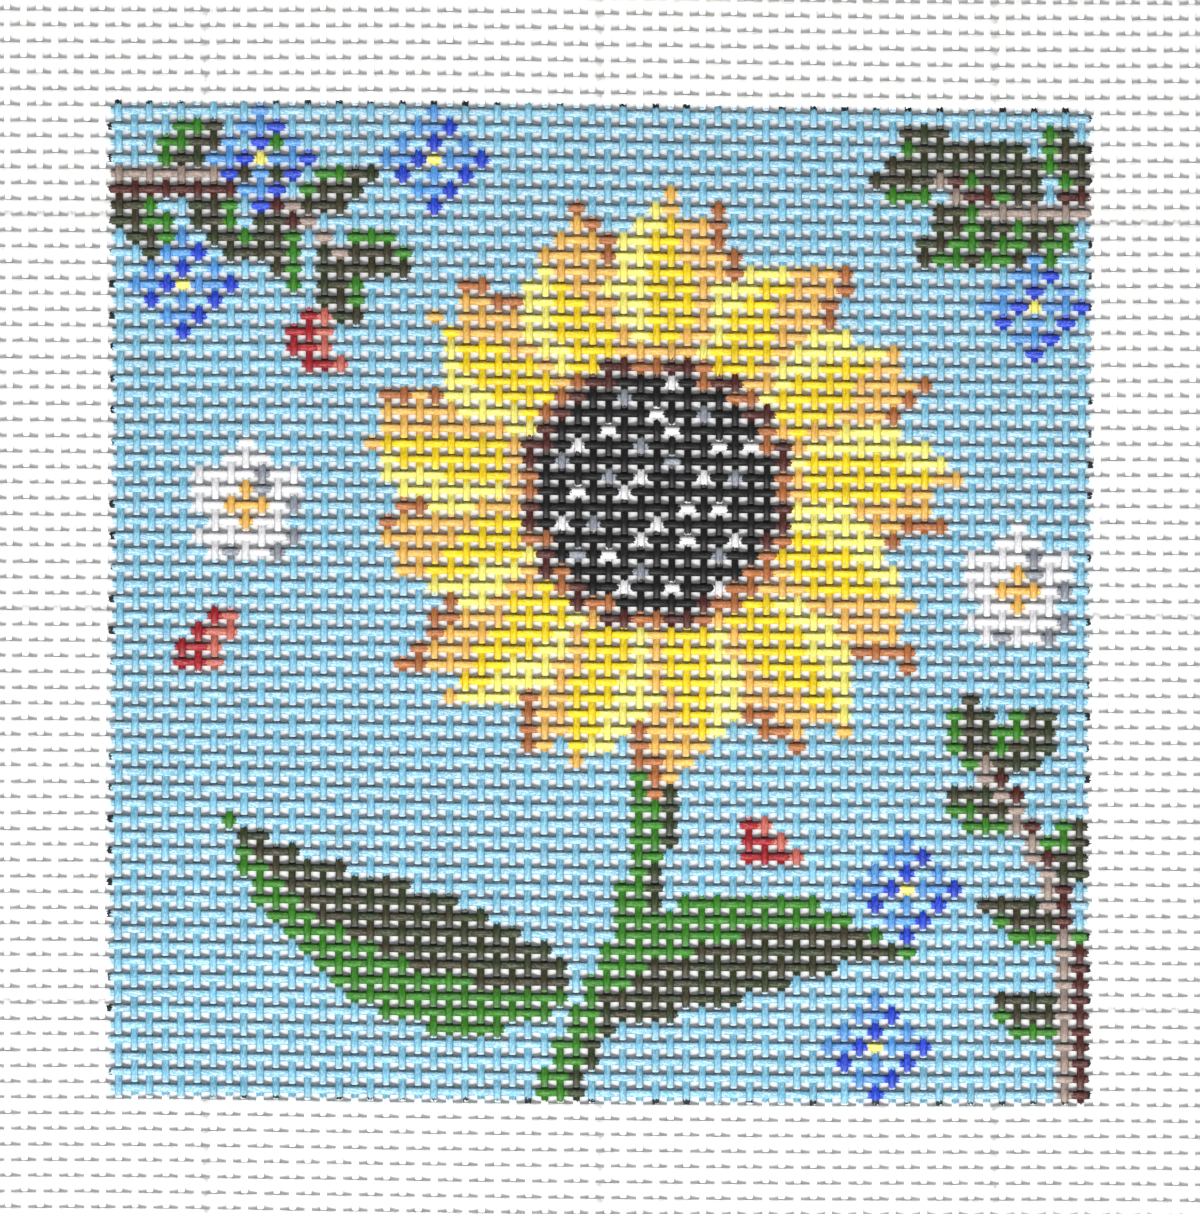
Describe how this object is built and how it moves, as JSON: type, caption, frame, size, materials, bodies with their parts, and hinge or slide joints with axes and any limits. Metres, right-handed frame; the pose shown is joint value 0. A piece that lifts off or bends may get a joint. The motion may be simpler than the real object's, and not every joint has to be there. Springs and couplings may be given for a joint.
{
  "type": "needlepoint canvas panel",
  "caption": "Flat cut piece of white open-weave needlepoint canvas, its middle square hand painted with a flower design to be stitched over, and bare canvas margins all round.",
  "frame": {"origin": "middle of the panel, on the plane that its back lies on", "axes": "+Z out of the painted face, +Y up the picture along the warp threads, +X across it along the weft threads"},
  "size_m": [0.1957, 0.199, 0.0012],
  "materials": {
    "canvas": "stiffened white cotton threads, matt, with soft-gloss paint on the middle square"
  },
  "bodies": {
    "root": {"canvas": "canvas"}
  },
  "joints": []
}
